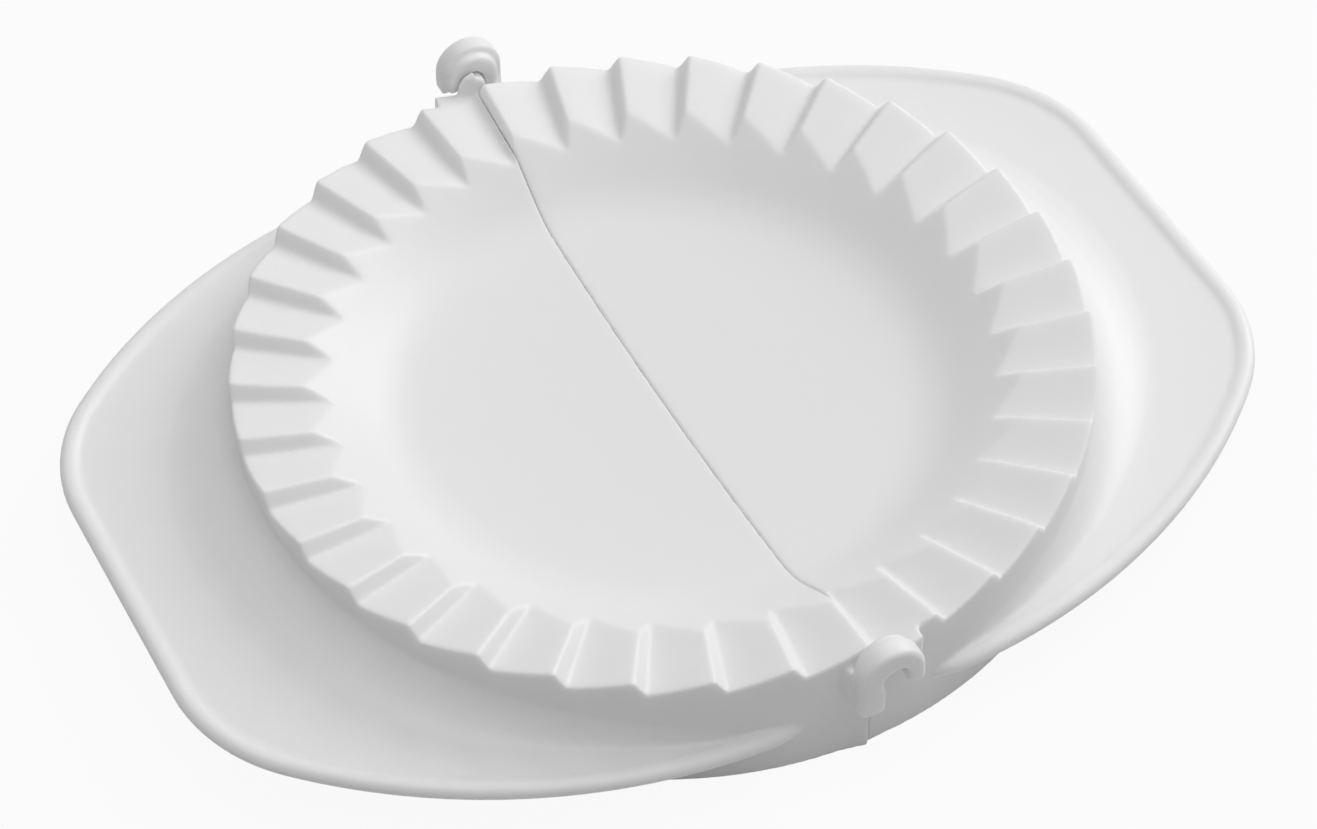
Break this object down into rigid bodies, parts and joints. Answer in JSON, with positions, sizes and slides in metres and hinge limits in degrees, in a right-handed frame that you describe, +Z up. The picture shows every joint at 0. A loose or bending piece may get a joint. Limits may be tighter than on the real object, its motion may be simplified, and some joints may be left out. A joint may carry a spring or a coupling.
{
  "type": "empanada press",
  "caption": "Folding press for filled dough rounds: a shallow dish with a toothed crimping rim, a cutting skirt and wing-shaped grips, hinged across its middle.",
  "frame": {"origin": "on the table, under the middle of the open press", "axes": "+Z up; X along the hinge line, +X towards the left half's hook; left half on -Y, right half on +Y"},
  "size_m": [0.1376, 0.17, 0.0271],
  "materials": {
    "polypropylene": "injection-moulded white polypropylene, satin"
  },
  "bodies": {
    "left_half": {"left_half": "polypropylene"},
    "right_half": {"right_half": "polypropylene"}
  },
  "joints": [
    {"name": "fold_hinge", "type": "hinge", "parent": "left_half", "child": "right_half", "pos_m": [0, 0, 0.02135], "axis": [1, 0, 0], "range_deg": [0, 180]}
  ]
}
